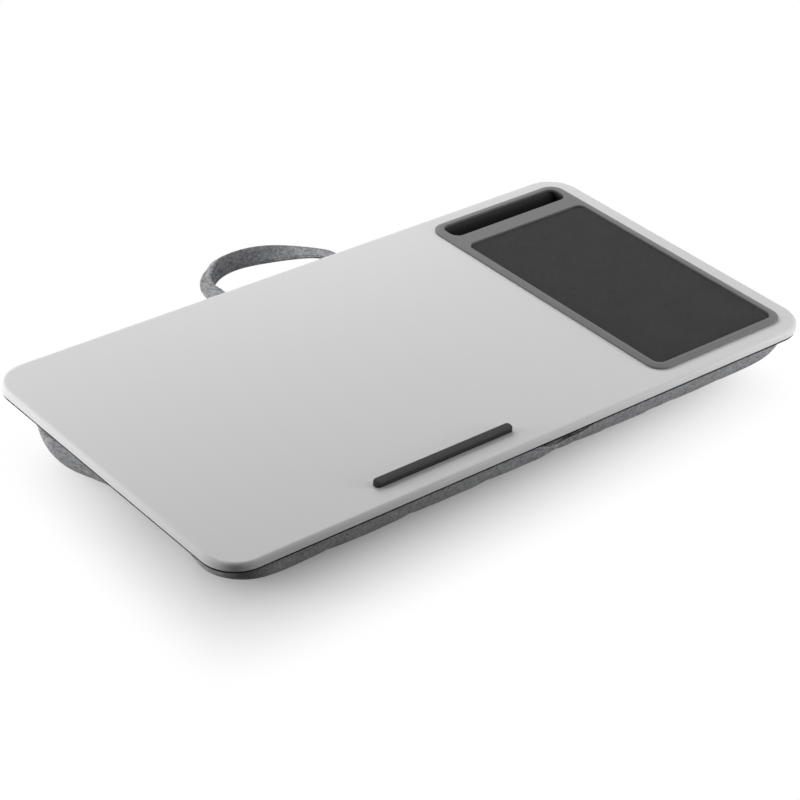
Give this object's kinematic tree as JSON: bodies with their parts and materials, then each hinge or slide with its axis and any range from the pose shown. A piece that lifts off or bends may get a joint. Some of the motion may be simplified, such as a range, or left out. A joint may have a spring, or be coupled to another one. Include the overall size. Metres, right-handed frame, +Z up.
{
  "type": "lap tray",
  "caption": "Lap tray: flat rounded board with a framed mouse pad, a phone slot and a laptop stop bar, on a channelled fabric cushion with a carry strap at the rear.",
  "frame": {"origin": "on the surface that the tray stands on, under the middle of the board, on the cushion's flat foot", "axes": "+X along the board to the right (the mouse pad's side), +Y to the rear (the strap's side), +Z up"},
  "size_m": [0.5759, 0.3627, 0.067],
  "materials": {
    "board_grey": "smooth matte laminate",
    "base_black": "matte",
    "frame_grey": "fine moulded texture",
    "pad_cloth": "fine woven cloth",
    "tray_black": "matte",
    "stop_grey": "satin",
    "screw_steel": "satin",
    "cushion_fabric": "mottled woven cloth",
    "bead_fill": "loose beads",
    "strip_black": "hook and loop",
    "strap_fabric": "mottled woven cloth"
  },
  "bodies": {
    "tray": {"top_panel": "board_grey", "base_panel": "base_black", "pad_frame": "frame_grey", "mouse_pad": "pad_cloth", "phone_tray": "tray_black", "laptop_stop": "stop_grey", "frame_screws": "screw_steel", "stop_screws": "screw_steel", "cushion_cover": "cushion_fabric", "left_fill": "bead_fill", "right_fill": "bead_fill", "hook_strips": "strip_black", "loop_strips": "strip_black", "strap_ends": "strap_fabric"},
    "strap": {"carry_strap": "strap_fabric"}
  },
  "joints": [
    {"name": "strap_swing", "type": "hinge", "parent": "tray", "child": "strap", "pos_m": [0, 0.154, 0.041], "axis": [1, 0, 0], "range_deg": [-50, 90]}
  ]
}
